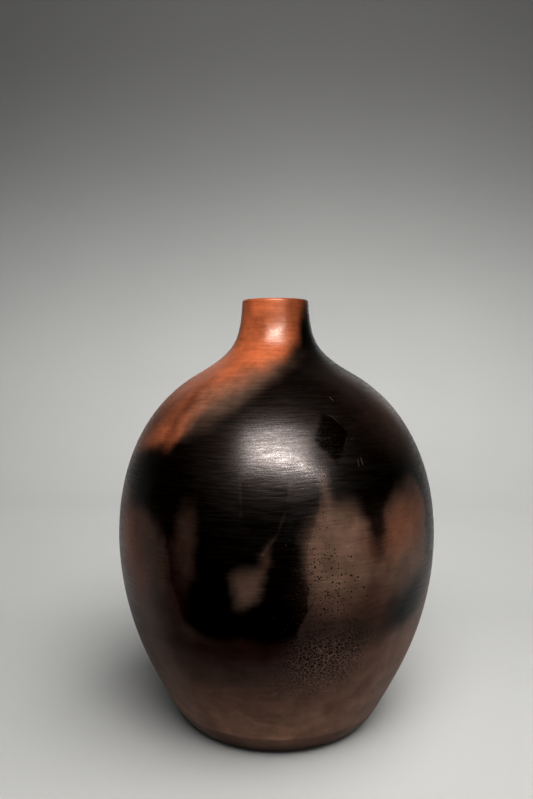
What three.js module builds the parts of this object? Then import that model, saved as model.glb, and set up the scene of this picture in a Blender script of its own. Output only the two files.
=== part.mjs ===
// A narrow-necked storage pot of burnished clay, raised by hand from a shallow base dish, four coiled
// bands, a neck collar and a lip coil. Each luted section is a solid of its own, and every seam lies
// in a level plane where the rim of one section meets the foot of the next. Millimetres, +Z up, with
// the origin on the ground at the centre of the base.
import * as THREE from "three";

// Driving dimensions
const HEIGHT = 300;
const WALL = 7;
const FLOOR = 9;

const BASE_RADIUS = 58;
const FOOT = { radius: 78.4, height: 16.5, rollLean: 0.62, wallLean: 0.5 };
const BELLY = { radius: 113.1, height: 134 };
const SHOULDER_END = { radius: 56.1, height: 247, fall: 1.74 };
const NECK_FOOT_SWEEP = 29.5;
const NECK = { radius: 24.1, height: 293.5, taper: 0.08 };
const LIP_ROUND_OUTSIDE = 1.6;
const LIP_ROUND_INSIDE = 2.6;

// How far each curve runs along its end directions before it bends away.
const FOOT_ROLL = { start: 10.5, end: 11 };
const LOWER_WALL = { start: 21.4, end: 58.5 };
const UPPER_WALL = { start: 49.4, end: 43.3 };
const NECK_SWEEP_END = 24;

const ROUND_STEPS = 56;
const OUTLINE_STEPS = 34;
const LIP_ARC_STEPS = 3;
const OUTLINE_SAMPLES = 600;

// The clay sections from the ground up: the level each one reaches, and its fired colour.
const SECTIONS = [
  { name: "base_dish", top: FOOT.height, colour: 0x4a3a32, roughness: 0.5 },
  { name: "lower_bowl", top: 68, colour: 0x3a2c26, roughness: 0.42 },
  { name: "belly_band", top: 146, colour: 0x1e1714, roughness: 0.34 },
  { name: "shoulder_band", top: 212, colour: 0x241a16, roughness: 0.32 },
  { name: "crown", top: 254, colour: 0x7a4026, roughness: 0.36 },
  { name: "neck_collar", top: 287, colour: 0x8a4a2a, roughness: 0.38 },
  { name: "lip_coil", top: HEIGHT, colour: 0x6e3c24, roughness: 0.42 },
];

// A direction in the (radius, height) plane that rises by one while the radius changes by lean.
function rising(lean) {
  return new THREE.Vector2(lean, 1).normalize();
}

// A curve between two points of the outline that leaves and arrives in the given directions.
function sweep(start, leaving, startReach, end, arriving, endReach) {
  const afterStart = start.clone().addScaledVector(leaving, startReach);
  const beforeEnd = end.clone().addScaledVector(arriving, -endReach);
  return new THREE.CubicBezierCurve(start, afterStart, beforeEnd, end);
}

// The outside of the pot in the (radius, height) plane, from ground to rim. It is smooth but for a
// faint crease where the rolled foot meets the wall.
function outsideLine() {
  const ground = new THREE.Vector2(BASE_RADIUS, 0);
  const foot = new THREE.Vector2(FOOT.radius, FOOT.height);
  const belly = new THREE.Vector2(BELLY.radius, BELLY.height);
  const shoulder = new THREE.Vector2(SHOULDER_END.radius, SHOULDER_END.height);
  const neck = new THREE.Vector2(NECK.radius, NECK.height);
  const rim = new THREE.Vector2(NECK.radius - NECK.taper * (HEIGHT - NECK.height), HEIGHT);
  const outward = new THREE.Vector2(1, 0);
  const upright = rising(0);
  const rollLean = rising(FOOT.rollLean);
  const wallLean = rising(FOOT.wallLean);
  const shoulderLean = rising(-SHOULDER_END.fall);
  const neckLean = rising(-NECK.taper);

  const line = new THREE.CurvePath();
  line.add(sweep(ground, outward, FOOT_ROLL.start, foot, rollLean, FOOT_ROLL.end));
  line.add(sweep(foot, wallLean, LOWER_WALL.start, belly, upright, LOWER_WALL.end));
  line.add(sweep(belly, upright, UPPER_WALL.start, shoulder, shoulderLean, UPPER_WALL.end));
  line.add(sweep(shoulder, shoulderLean, NECK_FOOT_SWEEP, neck, neckLean, NECK_SWEEP_END));
  line.add(new THREE.LineCurve(neck, rim));
  return line;
}

// The two faces of the wall, as close points from the ground up. The inside is the outside moved
// inwards by the wall's thickness.
function wallFaces() {
  const line = outsideLine();
  const outside = [];
  const inside = [];
  for (let i = 0; i <= OUTLINE_SAMPLES; i++) {
    const along = i / OUTLINE_SAMPLES;
    const point = line.getPointAt(along);
    const tangent = line.getTangentAt(along);
    outside.push(point);
    inside.push(new THREE.Vector2(point.x - tangent.y * WALL, point.y + tangent.x * WALL));
  }
  return { outside, inside };
}

// The point of a face at an exact height. Past either end, the face goes on straight up or down.
function pointAt(face, height) {
  const above = face.findIndex((point) => point.y >= height);
  if (above < 1) return new THREE.Vector2(face.at(above).x, height);
  const low = face[above - 1];
  const high = face[above];
  const share = (height - low.y) / (high.y - low.y);
  return new THREE.Vector2(THREE.MathUtils.lerp(low.x, high.x, share), height);
}

// The points of a face from one level to another, evenly spaced along the outline and clear of
// both levels, with a point exactly on each level.
function faceBetween(face, bottom, top) {
  const clearance = WALL / 4;
  const stride = Math.round(OUTLINE_SAMPLES / OUTLINE_STEPS);
  const between = face.filter(
    (point, i) => i % stride === 0 && point.y > bottom + clearance && point.y < top - clearance,
  );
  return [pointAt(face, bottom), ...between, pointAt(face, top)];
}

// A quarter round between the upright face of the lip and its top.
function lipRound(centre, radius, from, to) {
  return Array.from({ length: LIP_ARC_STEPS + 1 }, (_, i) => {
    const angle = THREE.MathUtils.lerp(from, to, i / LIP_ARC_STEPS);
    return new THREE.Vector2(
      centre.x + radius * Math.cos(angle),
      centre.y + radius * Math.sin(angle),
    );
  });
}

// The dish that the walls stand on: a flat floor inside the rolled edge of the foot.
function dishProfile(faces, top) {
  return [
    new THREE.Vector2(0, 0),
    ...faceBetween(faces.outside, 0, top),
    ...faceBetween(faces.inside, FLOOR, top).reverse(),
    new THREE.Vector2(0, FLOOR),
  ];
}

// An open band of wall between two level seams.
function bandProfile(faces, bottom, top) {
  const outer = faceBetween(faces.outside, bottom, top);
  const inner = faceBetween(faces.inside, bottom, top).reverse();
  return [...outer, ...inner, outer[0]];
}

// The last coil, whose top is rounded over on both edges.
function lipProfile(faces, bottom) {
  const outerTop = pointAt(faces.outside, HEIGHT - LIP_ROUND_OUTSIDE);
  const innerTop = pointAt(faces.inside, HEIGHT - LIP_ROUND_INSIDE);
  const outerCentre = new THREE.Vector2(outerTop.x - LIP_ROUND_OUTSIDE, outerTop.y);
  const innerCentre = new THREE.Vector2(innerTop.x + LIP_ROUND_INSIDE, innerTop.y);
  const outerFoot = pointAt(faces.outside, bottom);
  return [
    outerFoot,
    ...lipRound(outerCentre, LIP_ROUND_OUTSIDE, 0, Math.PI / 2),
    ...lipRound(innerCentre, LIP_ROUND_INSIDE, Math.PI / 2, Math.PI),
    pointAt(faces.inside, bottom),
    outerFoot,
  ];
}

// The closed profile of the section between two levels.
function profileOf(faces, bottom, top) {
  if (bottom === 0) return dishProfile(faces, top);
  if (top === HEIGHT) return lipProfile(faces, bottom);
  return bandProfile(faces, bottom, top);
}

// One section turned about the upright axis.
function turned(section, profile) {
  const geometry = new THREE.LatheGeometry(profile, ROUND_STEPS);
  geometry.rotateX(Math.PI / 2);
  const material = new THREE.MeshStandardMaterial({
    color: section.colour,
    roughness: section.roughness,
    metalness: 0,
  });
  const mesh = new THREE.Mesh(geometry, material);
  mesh.name = section.name;
  return mesh;
}

const pot = new THREE.Group();
const faces = wallFaces();
let bottom = 0;
for (const section of SECTIONS) {
  pot.add(turned(section, profileOf(faces, bottom, section.top)));
  bottom = section.top;
}

export default pot;
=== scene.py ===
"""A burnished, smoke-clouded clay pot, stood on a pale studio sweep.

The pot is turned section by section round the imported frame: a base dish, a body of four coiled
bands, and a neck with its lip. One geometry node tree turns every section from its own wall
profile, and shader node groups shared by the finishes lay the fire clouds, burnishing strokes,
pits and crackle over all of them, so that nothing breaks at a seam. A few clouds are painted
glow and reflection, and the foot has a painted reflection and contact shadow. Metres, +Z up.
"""

from __future__ import annotations

import logging
import math
from dataclasses import dataclass, field
from enum import Enum
from functools import reduce

import bpy
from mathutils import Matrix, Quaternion, Vector
from mathutils.geometry import interpolate_bezier


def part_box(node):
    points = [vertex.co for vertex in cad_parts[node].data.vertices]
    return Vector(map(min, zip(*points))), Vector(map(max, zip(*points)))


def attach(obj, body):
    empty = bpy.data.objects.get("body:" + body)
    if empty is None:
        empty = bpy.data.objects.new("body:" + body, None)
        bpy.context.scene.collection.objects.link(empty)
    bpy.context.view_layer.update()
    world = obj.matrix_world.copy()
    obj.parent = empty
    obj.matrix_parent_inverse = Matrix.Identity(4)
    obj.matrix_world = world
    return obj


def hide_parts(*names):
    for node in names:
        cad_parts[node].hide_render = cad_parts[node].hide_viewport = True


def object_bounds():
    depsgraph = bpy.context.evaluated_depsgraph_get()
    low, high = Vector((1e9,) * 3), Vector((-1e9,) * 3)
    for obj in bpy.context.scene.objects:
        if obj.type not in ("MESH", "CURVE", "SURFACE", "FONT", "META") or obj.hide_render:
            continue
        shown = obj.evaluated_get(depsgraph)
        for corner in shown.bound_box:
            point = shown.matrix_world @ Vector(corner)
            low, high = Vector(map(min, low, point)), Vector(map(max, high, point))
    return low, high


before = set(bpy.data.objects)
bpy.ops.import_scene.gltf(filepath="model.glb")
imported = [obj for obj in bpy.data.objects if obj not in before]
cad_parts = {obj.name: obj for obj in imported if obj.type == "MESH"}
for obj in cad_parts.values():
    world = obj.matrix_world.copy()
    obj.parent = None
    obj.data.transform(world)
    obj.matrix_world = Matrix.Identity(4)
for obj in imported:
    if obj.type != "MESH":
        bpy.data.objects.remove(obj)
CAD_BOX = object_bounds()

LOG = logging.getLogger("clay_pot")
MM = 0.001
NUMBER, VECTOR = "NodeSocketFloat", "NodeSocketVector"

Socket = bpy.types.NodeSocket
Value = float | Socket
Pair = tuple[float, float]
Triple = tuple[float, float, float]
Colour = tuple[float, float, float, float]
Ramp = tuple[float, float, float, float]


class Wiring:
    """Adds nodes to one tree and joins them, so that a network reads as a few plain calls."""

    def __init__(self, tree: bpy.types.NodeTree) -> None:
        """Keeps the tree that the nodes go in."""
        self.tree = tree

    def feed(self, socket: Socket, value: object) -> None:
        """Joins a socket to another one, or sets its plain value.

        Args:
            socket: The input to feed.
            value: An output socket, or a value for the input itself.
        """
        if isinstance(value, bpy.types.NodeSocket):
            self.tree.links.new(value, socket)
        else:
            socket.default_value = value

    def dress(self, node: bpy.types.Node, **inputs: object) -> bpy.types.Node:
        """Feeds a node's inputs by their names.

        Args:
            node: The node.
            **inputs: What feeds each input, with underscores for the spaces in its name.

        Returns:
            The same node.
        """
        for name, value in inputs.items():
            self.feed(node.inputs[name.replace("_", " ")], value)
        return node

    def node(self, kind: str, inputs: dict[str | int, object] | None = None,
             **settings: object) -> bpy.types.Node:
        """Adds one node.

        Args:
            kind: The node's type.
            inputs: What feeds each input, by the input's name or number.
            **settings: The node's own settings.

        Returns:
            The new node.
        """
        made = self.tree.nodes.new(kind)
        for name, setting in settings.items():
            setattr(made, name, setting)
        for name, value in (inputs or {}).items():
            self.feed(made.inputs[name], value)
        return made

    def group(self, tree: bpy.types.NodeTree, **inputs: object) -> bpy.types.Node:
        """Places a shader node group and feeds its inputs."""
        return self.dress(self.node("ShaderNodeGroup", node_tree=tree), **inputs)

    def math(self, operation: str, *values: Value, clamp: bool = False) -> Socket:
        """Works out one number with a Math node, held between 0 and 1 if it is clamped."""
        inputs = dict(enumerate(values))
        return self.node("ShaderNodeMath", inputs, operation=operation, use_clamp=clamp).outputs[0]

    def plus(self, *values: Value) -> Value:
        """Adds numbers up."""
        return reduce(lambda total, value: self.math("ADD", total, value), values)

    def minus(self, value: Value, less: Value) -> Socket:
        """Takes one number from another."""
        return self.math("SUBTRACT", value, less)

    def times(self, *values: Value) -> Value:
        """Multiplies numbers together."""
        return reduce(lambda total, value: self.math("MULTIPLY", total, value), values)

    def vector(self, operation: str, *values: object) -> Socket:
        """Works out one vector with a Vector Math node."""
        inputs = dict(enumerate(values))
        return self.node("ShaderNodeVectorMath", inputs, operation=operation).outputs["Vector"]

    def scaled(self, vector: Socket, by: Value) -> Socket:
        """Scales a vector or a colour by one number."""
        inputs = {0: vector, "Scale": by}
        return self.node("ShaderNodeVectorMath", inputs, operation="SCALE").outputs["Vector"]

    def between(self, value: Value, low: Value, high: Value, low_gives: Value = 0.0,
                high_gives: Value = 1.0, smooth: bool = True) -> Socket:
        """Maps a number from one range to another and holds it there.

        Args:
            value: The number.
            low: Where the range starts.
            high: Where the range ends.
            low_gives: The result at the start.
            high_gives: The result at the end.
            smooth: Whether the ends are eased.

        Returns:
            The mapped number.
        """
        made = self.node("ShaderNodeMapRange",
                         interpolation_type="SMOOTHSTEP" if smooth else "LINEAR")
        self.dress(made, Value=value, From_Min=low, From_Max=high, To_Min=low_gives,
                   To_Max=high_gives)
        return made.outputs["Result"]

    def noise(self, place: Socket, scale: float, detail: float = 2.0, roughness: float = 0.5,
              seed: Value | None = None) -> bpy.types.Node:
        """Adds a noise texture.

        Args:
            place: The coordinates that it reads.
            scale: Its scale.
            detail: Its detail.
            roughness: How strongly the finer detail shows.
            seed: A fixed seed, for a noise that needs one of its own.

        Returns:
            The texture node.
        """
        made = self.node("ShaderNodeTexNoise", {"Vector": place, "Scale": scale,
                                                "Detail": detail, "Roughness": roughness})
        if seed is not None:
            made.noise_dimensions = "4D"
            self.feed(made.inputs["W"], seed)
        return made

    def swing(self, noise: Socket, reach: Value) -> Value:
        """Centres a noise on zero and sets how far it swings."""
        return self.times(self.minus(noise, 0.5), reach)

    def mix(self, share: Value, first: object, second: object) -> Socket:
        """Mixes two colours, where the share is how much of the second one shows."""
        made = self.node("ShaderNodeMix", {0: share, 6: first, 7: second}, data_type="RGBA")
        return made.outputs[2]

    def relief(self, height: Socket, depth: float) -> Socket:
        """Turns a height into the normal of a shallow relief."""
        return self.node("ShaderNodeBump", {"Height": height, "Distance": depth}).outputs[0]


class Group(Wiring):
    """The wiring of a new node group with named sockets."""

    def __init__(self, name: str, inputs: dict[str, object], outputs: dict[str, str],
                 kind: str = "ShaderNodeTree") -> None:
        """Starts the group.

        Args:
            name: The group's name.
            inputs: Each input's plain number, or its socket type where it has none.
            outputs: Each output's socket type.
            kind: The tree's type.
        """
        super().__init__(bpy.data.node_groups.new(name, kind))
        types = {float: NUMBER, int: "NodeSocketInt"}
        for label, value in inputs.items():
            socket = self.tree.interface.new_socket(
                label, in_out="INPUT", socket_type=types.get(type(value), value))
            if type(value) in types:
                socket.default_value = value
        for label, socket_type in outputs.items():
            self.tree.interface.new_socket(label, in_out="OUTPUT", socket_type=socket_type)
        entry = self.tree.nodes.new("NodeGroupInput")
        self.given = {label: entry.outputs[label] for label in inputs}

    def gives(self, **outputs: Value) -> bpy.types.NodeTree:
        """Joins the group's outputs and hands back its finished tree."""
        self.dress(self.tree.nodes.new("NodeGroupOutput"), **outputs)
        return self.tree


# ---------------------------------------------------------------------------------------------
# The shape
# ---------------------------------------------------------------------------------------------


def rising(lean: float) -> Vector:
    """Gives the (radius, height) direction that leans out by so much for each unit of height."""
    return Vector((lean, 1.0)).normalized()


@dataclass(frozen=True)
class PotWall:
    """The wall of the whole pot in the (radius, height) plane, as the frame's sections share it."""

    height: float = CAD_BOX[1].z
    thickness: float = 7 * MM
    floor: float = 9 * MM
    base_radius: float = 58 * MM
    foot: Pair = (78.4 * MM, 16.5 * MM)
    roll_lean: float = 0.62
    wall_lean: float = 0.5
    roll_reach: Pair = (10.5 * MM, 11 * MM)
    lower_reach: Pair = (21.4 * MM, 58.5 * MM)
    belly: Pair = (113.1 * MM, 134 * MM)
    upper_reach: Pair = (49.4 * MM, 43.3 * MM)
    shoulder: Pair = (56.1 * MM, 247 * MM)
    shoulder_lean: float = -1.74
    neck_reach: Pair = (29.5 * MM, 24 * MM)
    neck: Pair = (24.1 * MM, 293.5 * MM)
    neck_lean: float = -0.08
    samples: int = 160

    def outside(self) -> list[Vector]:
        """Draws the outside face.

        Returns:
            Close points from the ground to the rim.
        """
        base, foot, belly = Vector((self.base_radius, 0)), Vector(self.foot), Vector(self.belly)
        shoulder, neck = Vector(self.shoulder), Vector(self.neck)
        closing, upward = rising(self.shoulder_lean), rising(self.neck_lean)
        stretches = (
            (base, Vector((1, 0)), foot, rising(self.roll_lean), self.roll_reach),
            (foot, rising(self.wall_lean), belly, rising(0), self.lower_reach),
            (belly, rising(0), shoulder, closing, self.upper_reach),
            (shoulder, closing, neck, upward, self.neck_reach),
        )
        points: list[Vector] = []
        for start, leaving, end, arriving, (first, last) in stretches:
            points += interpolate_bezier(start, start + leaving * first, end - arriving * last,
                                         end, self.samples)[:-1]
        rim = neck + upward * (self.height - neck.y)
        return [Vector((p.x, p.y)) for p in points] + [neck, rim]

    def inside(self) -> list[Vector]:
        """Draws the inside face, one wall's thickness in from the outside.

        Returns:
            Close points from the ground to the rim.
        """
        outside = self.outside()
        points = []
        for i, point in enumerate(outside):
            along = (outside[min(i + 1, len(outside) - 1)] - outside[max(i - 1, 0)]).normalized()
            points.append(point + Vector((-along.y, along.x)) * self.thickness)
        return points


def at_height(face: list[Vector], height: float) -> Vector:
    """Finds the point of a face at an exact height.

    Args:
        face: The face's points, from the ground up.
        height: The height.

    Returns:
        The point.
    """
    above = next((i for i, point in enumerate(face) if point.y >= height), len(face) - 1)
    low, high = face[max(above - 1, 0)], face[above]
    share = (height - low.y) / (high.y - low.y) if high.y > low.y else 1.0
    return Vector((low.x + (high.x - low.x) * share, height))


def rows(face: list[Vector], bottom: float, top: float, pitch: float) -> list[Vector]:
    """Spaces rows evenly along a face between two levels.

    A support row lies close to each level, so that the shading runs on smoothly past a seam.

    Args:
        face: The face's points, from the ground up.
        bottom: The lower level.
        top: The upper level.
        pitch: The distance from row to row.

    Returns:
        The rows' points, from the lower level up.
    """
    support = 0.25 * MM
    stretch = [at_height(face, bottom + support)]
    stretch += [p for p in face if bottom + 2 * support < p.y < top - 2 * support]
    stretch.append(at_height(face, top - support))
    runs = [(b - a).length for a, b in zip(stretch, stretch[1:])]
    count = max(2, round(sum(runs) / pitch))
    step, due, gone = sum(runs) / count, 0.0, 0.0
    placed = []
    for (a, b), run in zip(zip(stretch, stretch[1:]), runs):
        while due <= gone + run and len(placed) < count:
            placed.append(a.lerp(b, (due - gone) / run))
            due += step
        gone += run
    return [at_height(face, bottom), *placed, stretch[-1], at_height(face, top)]


@dataclass(frozen=True)
class Profile:
    """A section's outline, with how bare the clay is at each of its points."""

    points: list[Vector]
    bare: list[float]
    closed: bool = True

    def mesh(self, name: str) -> bpy.types.Mesh:
        """Makes the outline a mesh of edges that the wheel turns.

        Args:
            name: The mesh's name.

        Returns:
            The mesh.
        """
        count = len(self.points)
        edges = [(i, i + 1) for i in range(count - 1)]
        if self.closed:
            edges.append((count - 1, 0))
        mesh = bpy.data.meshes.new(name)
        mesh.from_pydata([(p.x, p.y, 0.0) for p in self.points], edges, [])
        bareness = mesh.attributes.new("bareness", "FLOAT", "POINT")
        bareness.data.foreach_set("value", self.bare)
        return mesh


class PottersWheel:
    """The geometry node tree that turns a section's outline into its fired wall."""

    hub: float = 50 * MM
    weld: float = 0.01 * MM
    sharpest_smooth: float = math.radians(38)
    bare_from: float = 0.75
    ridges_start: Pair = (12 * MM, 30 * MM)

    def __init__(self) -> None:
        """Builds the tree once: the outline swept round, moved by hand marks, given its clay."""
        w = Group("turned_clay", {
            "Outline": "NodeSocketGeometry",
            "Round Steps": 192,
            "Wobble": 0.3 * MM,
            "Wobble Length": 70 * MM,
            "Scrape Marks": 0.05 * MM,
            "Scrape Length": 30 * MM,
            "Finger Ridges": 0.45 * MM,
            "Ridge Pitch": 9 * MM,
            "Neck Lean": 0.6 * MM,
            "Belly Height": 134 * MM,
            "Rim Height": 300 * MM,
            "Seed": 3.0,
            "Burnished Clay": "NodeSocketMaterial",
            "Bare Clay": "NodeSocketMaterial",
        }, {"Geometry": "NodeSocketGeometry"}, "GeometryNodeTree")
        outline = w.node("GeometryNodeTransform", {"Geometry": w.given["Outline"],
                                                   "Translation": (-self.hub, 0, 0),
                                                   "Scale": (1, -1, 1)})
        section = w.node("GeometryNodeMeshToCurve", {"Mesh": outline.outputs[0]})
        circle = w.node("GeometryNodeCurvePrimitiveCircle",
                        {"Resolution": w.given["Round Steps"], "Radius": self.hub})
        swept = w.node("GeometryNodeCurveToMesh", {"Curve": circle.outputs["Curve"],
                                                   "Profile Curve": section.outputs[0]})
        closed = w.node("GeometryNodeMergeByDistance", {"Geometry": swept.outputs[0],
                                                        "Distance": self.weld})
        moved = w.node("GeometryNodeSetPosition",
                       {"Geometry": closed.outputs[0], "Offset": self._hand_marks(w)})
        smooth = w.node("GeometryNodeSetShadeSmooth", {"Geometry": moved.outputs[0]})
        corner = w.node("GeometryNodeInputMeshEdgeAngle").outputs["Unsigned Angle"]
        creased = w.node("GeometryNodeSetShadeSmooth",
                         {"Geometry": smooth.outputs[0], "Shade Smooth": False,
                          "Selection": w.math("GREATER_THAN", corner, self.sharpest_smooth)},
                         domain="EDGE")
        realized = w.node("GeometryNodeRealizeInstances", {"Geometry": creased.outputs[0]})
        facing = w.node("GeometryNodeFlipFaces", {"Mesh": realized.outputs[0]})
        coated = w.node("GeometryNodeSetMaterial", {"Geometry": facing.outputs[0],
                                                    "Material": w.given["Burnished Clay"]})
        bare = w.math("GREATER_THAN", self._bareness(w), self.bare_from)
        bared = w.node("GeometryNodeSetMaterial", {"Geometry": coated.outputs[0],
                                                   "Selection": bare,
                                                   "Material": w.given["Bare Clay"]})
        self.tree = w.gives(Geometry=bared.outputs[0])

    def _bareness(self, w: Group) -> Socket:
        """Reads how bare the clay is from the outline's own points."""
        return w.node("GeometryNodeInputNamedAttribute", {"Name": "bareness"},
                      data_type="FLOAT").outputs["Attribute"]

    def _hand_marks(self, w: Group) -> Socket:
        """Works out how far each point lies off the true circle.

        Args:
            w: The tree's wiring.

        Returns:
            The offset, level and straight out from the axis, with the neck's slight lean.
        """
        place = w.node("GeometryNodeInputPosition").outputs[0]
        x, y, z = w.node("ShaderNodeSeparateXYZ", {0: place}).outputs
        outward = w.vector("NORMALIZE", w.vector("MULTIPLY", place, (1, 1, 0)))
        wobble = w.noise(w.vector("DIVIDE", place, w.given["Wobble Length"]), 1.0, detail=1.0,
                         seed=w.given["Seed"])
        flat = w.vector("MULTIPLY", place, (1, 1, 3))
        scrape = w.noise(w.vector("DIVIDE", flat, w.given["Scrape Length"]), 1.0,
                         seed=w.given["Seed"])
        turn = w.math("DIVIDE", w.math("ARCTAN2", y, x), math.tau)
        spiral = w.plus(w.math("DIVIDE", z, w.given["Ridge Pitch"]), turn)
        ridge = w.math("SINE", w.times(spiral, math.tau))
        fingers = w.times(ridge, w.given["Finger Ridges"], self._bareness(w),
                          w.between(z, *self.ridges_start))
        swell = w.swing(wobble.outputs[0], w.times(w.given["Wobble"], 2.0))
        marks = w.swing(scrape.outputs[0], w.times(w.given["Scrape Marks"], 2.0))
        lean = w.between(z, w.given["Belly Height"], w.given["Rim Height"], 0.0,
                         w.times(w.given["Neck Lean"], -1.0))
        leaning = w.node("ShaderNodeCombineXYZ", {0: lean}).outputs[0]
        return w.vector("ADD", w.scaled(outward, w.plus(swell, marks, fingers)), leaning)

    def turn(self, name: str, outline: Profile, sizes: dict[str, object]) -> bpy.types.Object:
        """Turns one section and makes it a plain mesh.

        Args:
            name: The finished piece's name.
            outline: The section's outline.
            sizes: Values for the tree's named inputs.

        Returns:
            The piece, with no modifier left on it.
        """
        blank = bpy.data.objects.new(name + "_outline", outline.mesh(name + "_outline"))
        bpy.context.scene.collection.objects.link(blank)
        modifier = blank.modifiers.new("turned_clay", "NODES")
        modifier.node_group = self.tree
        for socket in self.tree.interface.items_tree:
            if socket.in_out == "INPUT" and socket.name in sizes:
                modifier[socket.identifier] = sizes[socket.name]
        shaped = blank.evaluated_get(bpy.context.evaluated_depsgraph_get())
        mesh = bpy.data.meshes.new_from_object(shaped)
        bpy.data.objects.remove(blank)
        mesh.name = name
        piece = bpy.data.objects.new(name, mesh)
        bpy.context.scene.collection.objects.link(piece)
        return piece


# ---------------------------------------------------------------------------------------------
# The finishes
# ---------------------------------------------------------------------------------------------


def fired(red: int, green: int, blue: int) -> Colour:
    """Turns a swatch's display colour into the linear colour that the shader works in.

    Args:
        red: The swatch's red, 0 to 255.
        green: The swatch's green, 0 to 255.
        blue: The swatch's blue, 0 to 255.

    Returns:
        The linear colour, opaque.
    """
    def linear(share: float) -> float:
        """Undoes the display curve for one channel."""
        return share / 12.92 if share <= 0.04045 else ((share + 0.055) / 1.055) ** 2.4
    return linear(red / 255), linear(green / 255), linear(blue / 255), 1.0


class Tone(Enum):
    """The colours that the fire left in the clay, and those that wear laid bare; some also serve
    painted glow, reflection and shadow.
    """

    TERRACOTTA = fired(121, 74, 49)
    BURNT_ORANGE = fired(92, 58, 40)
    RUST = fired(70, 40, 27)
    BROWN = fired(58, 44, 37)
    UMBER = fired(46, 36, 31)
    ASH_BROWN = fired(84, 70, 61)
    FOOT_BROWN = fired(122, 98, 85)
    OXBLOOD = fired(27, 10, 8)
    SOOT = fired(5, 4, 3)
    CRACKLE = fired(108, 92, 83)
    SCRATCHED = fired(88, 76, 72)
    # Pale foot band: worn clay, and partly a painted reflection of the floor.
    RUBBED_AND_REFLECTED = fired(92, 72, 62)
    BARE = fired(112, 66, 46)
    SMOKED = fired(40, 30, 26)


@dataclass(frozen=True)
class FireCloud:
    """A patch that the fire left: smoked dark, or burnt back to brown or orange; a few paint light
    instead.

    Angles are degrees round from the front, positive to the right. Sizes are millimetres.
    """

    around: float
    height: float
    half_width: float
    half_height: float
    tone: Tone = Tone.SOOT
    strength: float = 1.0
    tilt: float = 0.0
    squareness: float = 2.0
    softness: float = 0.3


@dataclass(frozen=True)
class TideLine:
    """An uneven line right round the pot, where one firing colour gives way to another.

    Each point is an angle in degrees and a height in millimetres.
    """

    points: tuple[Pair, ...]
    softness: float


@dataclass(frozen=True)
class Facet:
    """A straight-sided patch where the burnishing stone skipped.

    Each corner is an angle in degrees and a height in millimetres, turning anticlockwise. A
    degree runs for so many millimetres there.
    """

    corners: tuple[Pair, ...]
    softness: float
    degree: float = 1.6


@dataclass(frozen=True)
class Scratch:
    """A fine pale line in the skin of the clay, between two (angle, height) points."""

    start: Pair
    end: Pair
    width: float
    strength: float


@dataclass(frozen=True)
class Grit:
    """A scatter of pits: the zone that it keeps to, its spacing and size, and how full it is."""

    zone: FireCloud
    spacing: float
    size: float
    share: float


SMOKE_LINE = TideLine((
    (-180, 128), (-150, 104), (-125, 118), (-100, 160), (-80, 176), (-66, 172), (-58, 160),
    (-50, 164), (-42, 154), (-37, 150), (-33, 118), (-29, 98), (-20, 90), (-8, 87), (4, 87),
    (7, 94), (9, 120), (11, 160), (14, 178), (18, 173), (24, 171), (28, 168), (33, 150),
    (37, 168), (46, 177), (56, 180), (63, 150), (72, 134), (95, 120), (120, 138), (150, 142),
    (180, 128),
), 7.0)

RED_LINE = TideLine((
    (-180, 226), (-140, 196), (-110, 190), (-85, 192), (-66, 199), (-50, 201), (-43, 205),
    (-38, 216), (-31, 230), (-21, 241), (-10, 250), (4, 258), (15, 266), (25, 272), (35, 277),
    (50, 288), (75, 295), (100, 299), (125, 295), (148, 274), (166, 246), (180, 226),
), 9.0)

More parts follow.
